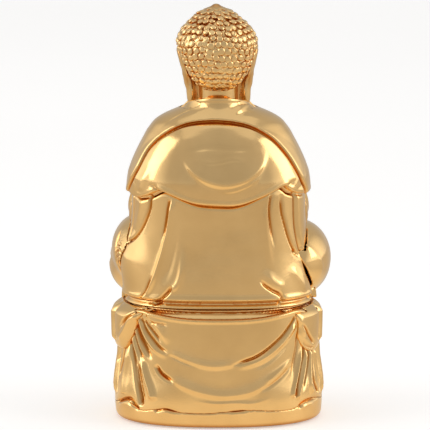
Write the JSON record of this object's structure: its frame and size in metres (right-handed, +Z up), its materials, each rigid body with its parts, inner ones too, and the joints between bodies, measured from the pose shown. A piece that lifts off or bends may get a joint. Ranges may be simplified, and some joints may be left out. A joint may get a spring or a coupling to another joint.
{
  "type": "buddha statue",
  "caption": "Gold-plated brass statue of a seated Buddha in a robe, on an oval throne draped with cloth.",
  "frame": {"origin": "on the floor under the middle of the statue's plan", "axes": "+Z up through the crown of the head; the figure faces -Y, so its back is +Y; +X is the figure's left hand side"},
  "size_m": [0.0788, 0.054, 0.15],
  "materials": {
    "gold_plated_brass": "polished gold plating",
    "plain_brass": "sheet brass, unplated",
    "steel": "zinc plated",
    "felt": "felt"
  },
  "bodies": {
    "root": {"plinth": "gold_plated_brass", "throne_shell": "gold_plated_brass", "seat_mat": "gold_plated_brass", "left_robe_flap": "gold_plated_brass", "right_robe_flap": "gold_plated_brass", "figure_floor": "plain_brass", "back_shell": "gold_plated_brass", "front_shell": "gold_plated_brass", "crossed_legs": "gold_plated_brass", "left_sleeve": "gold_plated_brass", "right_sleeve": "gold_plated_brass", "left_hand": "gold_plated_brass", "right_hand": "gold_plated_brass", "shoulder_mantle": "gold_plated_brass", "head": "gold_plated_brass", "hair_cap": "gold_plated_brass", "neck_ring": "plain_brass", "tie_stud": "steel", "tie_washer": "steel", "tie_nut": "steel", "closing_plate": "plain_brass", "plate_screws": "steel", "felt_pads": "felt"}
  },
  "joints": []
}
